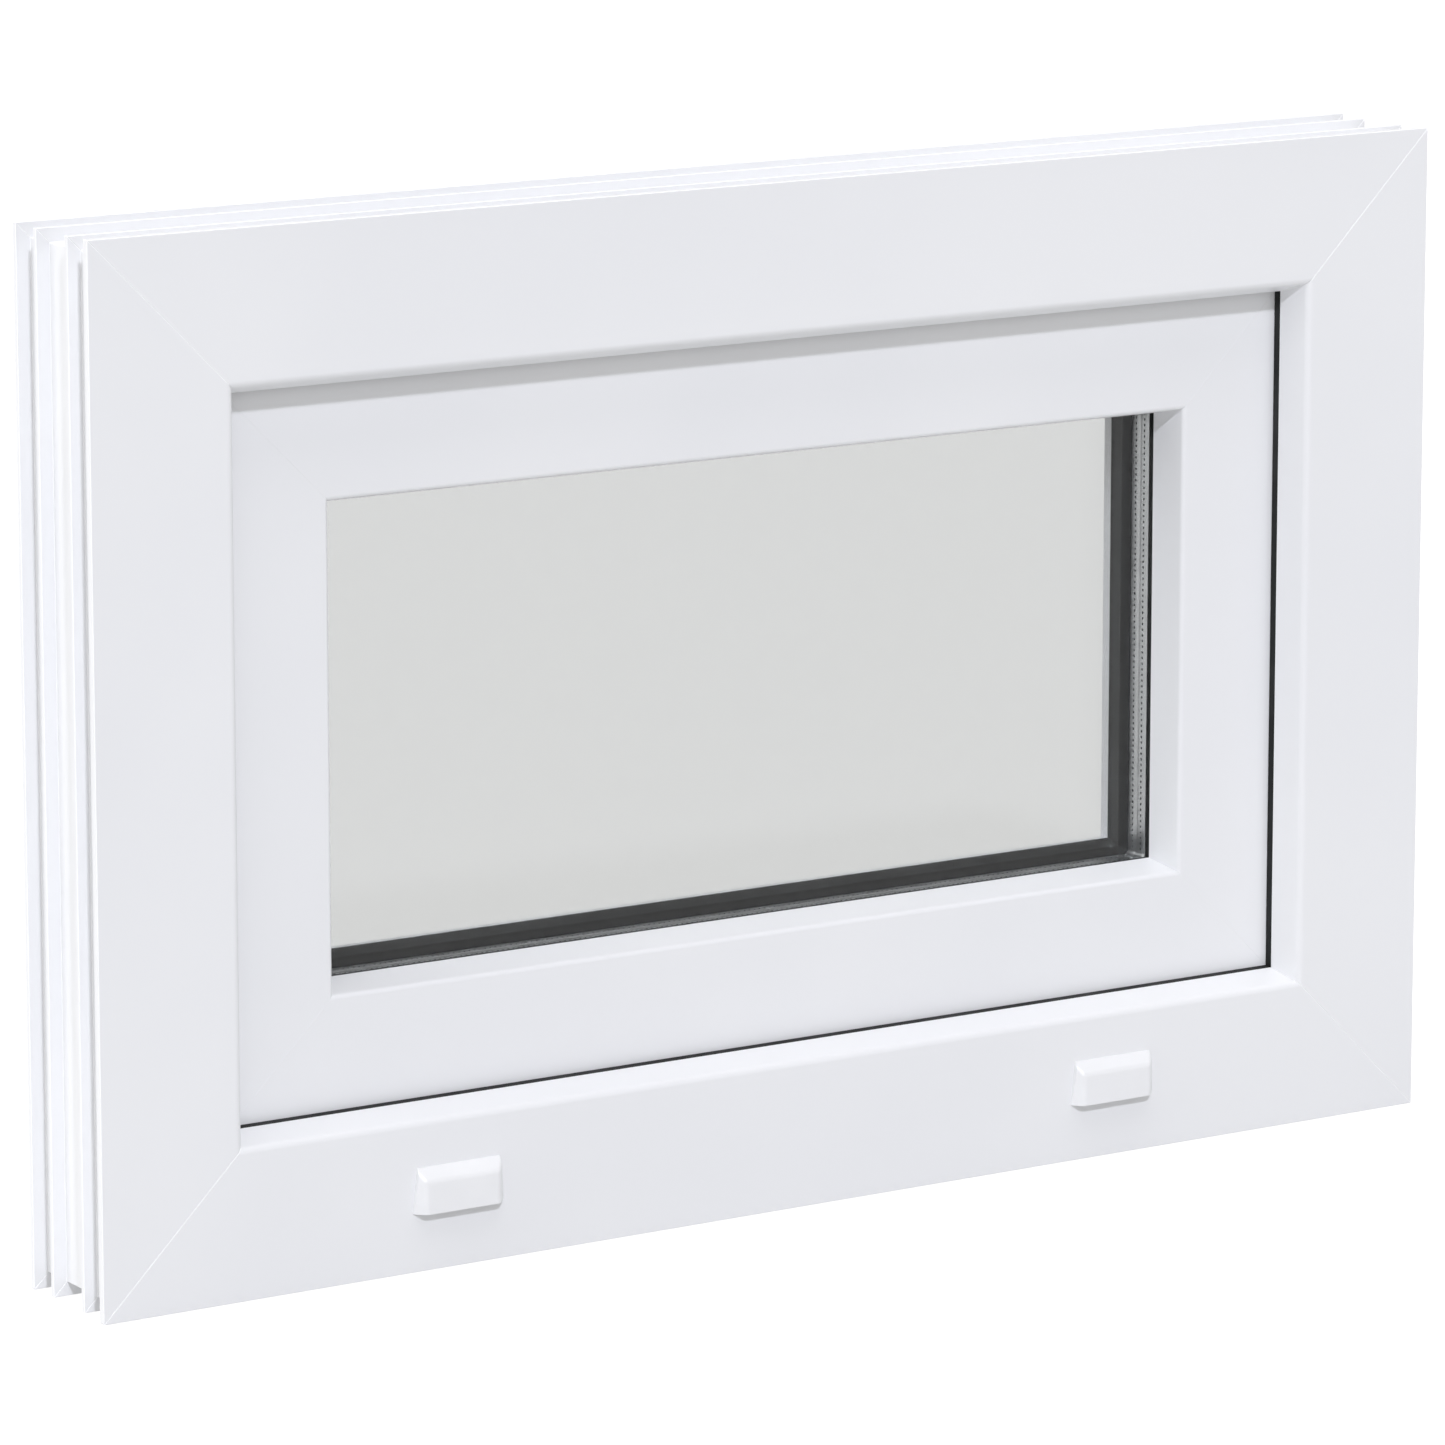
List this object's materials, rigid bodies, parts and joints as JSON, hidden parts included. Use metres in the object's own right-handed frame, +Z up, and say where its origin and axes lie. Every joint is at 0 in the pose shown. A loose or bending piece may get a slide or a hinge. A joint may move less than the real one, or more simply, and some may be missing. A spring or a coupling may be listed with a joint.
{
  "type": "casement window",
  "caption": "Small white plastic casement window with one side-hung double-glazed sash that opens inwards, drainage caps and a lever handle.",
  "frame": {"origin": "middle of the frame's lowest outdoor edge, on the underside of the sill's front lip", "axes": "+X along the width (to the right seen from outdoors), +Y from the outdoor face to the room, +Z up"},
  "size_m": [0.6, 0.1171, 0.4],
  "materials": {
    "white_pvc": "smooth satin window-grade plastic",
    "white_caps": "moulded satin plastic",
    "galvanised_steel": "galvanised, spangled",
    "black_gasket": "matt extruded rubber",
    "zinc_hardware": "silver passivated zinc",
    "screw_steel": "bright zinc plated",
    "clear_glass": "clear float glass",
    "spacer_metal": "mill-finish perforated strip",
    "desiccant_beads": "fine molecular-sieve beads",
    "butyl_sealant": "matt black sealant",
    "packer_plastic": "moulded plastic",
    "white_handle": "white powder coat"
  },
  "bodies": {
    "frame": {"frame_sill": "white_pvc", "frame_head": "white_pvc", "frame_jamb_left": "white_pvc", "frame_jamb_right": "white_pvc", "frame_steel_sill": "galvanised_steel", "frame_steel_head": "galvanised_steel", "frame_steel_left": "galvanised_steel", "frame_steel_right": "galvanised_steel", "frame_gasket": "black_gasket", "drain_cap_left": "white_caps", "drain_cap_right": "white_caps", "keeper_upper": "zinc_hardware", "keeper_lower": "zinc_hardware", "keeper_screws": "screw_steel", "hinge_bracket_upper": "zinc_hardware", "hinge_bracket_lower": "zinc_hardware", "hinge_pin_upper": "screw_steel", "hinge_pin_lower": "screw_steel", "hinge_bracket_screws": "screw_steel", "hinge_cover_upper": "white_caps", "hinge_cover_lower": "white_caps"},
    "sash": {"sash_bottom_rail": "white_pvc", "sash_top_rail": "white_pvc", "sash_stile_left": "white_pvc", "sash_stile_right": "white_pvc", "sash_steel_bottom": "galvanised_steel", "sash_steel_top": "galvanised_steel", "sash_steel_left": "galvanised_steel", "sash_steel_right": "galvanised_steel", "overlap_gasket": "black_gasket", "outdoor_glazing_gasket": "black_gasket", "room_glazing_gasket": "black_gasket", "glazing_bead_bottom": "white_pvc", "glazing_bead_top": "white_pvc", "glazing_bead_left": "white_pvc", "glazing_bead_right": "white_pvc", "outdoor_pane": "clear_glass", "room_pane": "clear_glass", "spacer_bar": "spacer_metal", "desiccant": "desiccant_beads", "edge_sealant": "butyl_sealant", "glazing_packers": "packer_plastic", "hinge_leaf_upper": "zinc_hardware", "hinge_leaf_lower": "zinc_hardware", "hinge_leaf_screws": "screw_steel", "knuckle_cover_upper": "white_caps", "knuckle_cover_lower": "white_caps", "gearbox_case": "zinc_hardware", "gearbox_lid": "zinc_hardware", "faceplate": "zinc_hardware", "faceplate_screws": "screw_steel", "handle_base": "zinc_hardware", "handle_rose_cover": "white_caps", "handle_screws": "screw_steel"},
    "drive_rail": {"drive_rail": "zinc_hardware", "locking_cams": "zinc_hardware"},
    "handle": {"drive_gear": "zinc_hardware", "spindle": "screw_steel", "handle_lever": "white_handle"}
  },
  "joints": [
    {"name": "sash_hinge", "type": "hinge", "parent": "frame", "child": "sash", "pos_m": [0.275, 0.068, 0.2], "axis": [0, 0, -1], "range_deg": [0, 100]},
    {"name": "handle_turn", "type": "hinge", "parent": "sash", "child": "handle", "pos_m": [-0.23075, 0.0935, 0.2], "axis": [0, 1, 0], "range_deg": [0, 90]},
    {"name": "rail_slide", "type": "slide", "parent": "sash", "child": "drive_rail", "axis": [0, 0, 1], "range_m": [0, 0.0151]}
  ],
  "couplings": [
    {"joint": "rail_slide", "follows": "handle_turn", "m_per_rad": 0.0096}
  ]
}
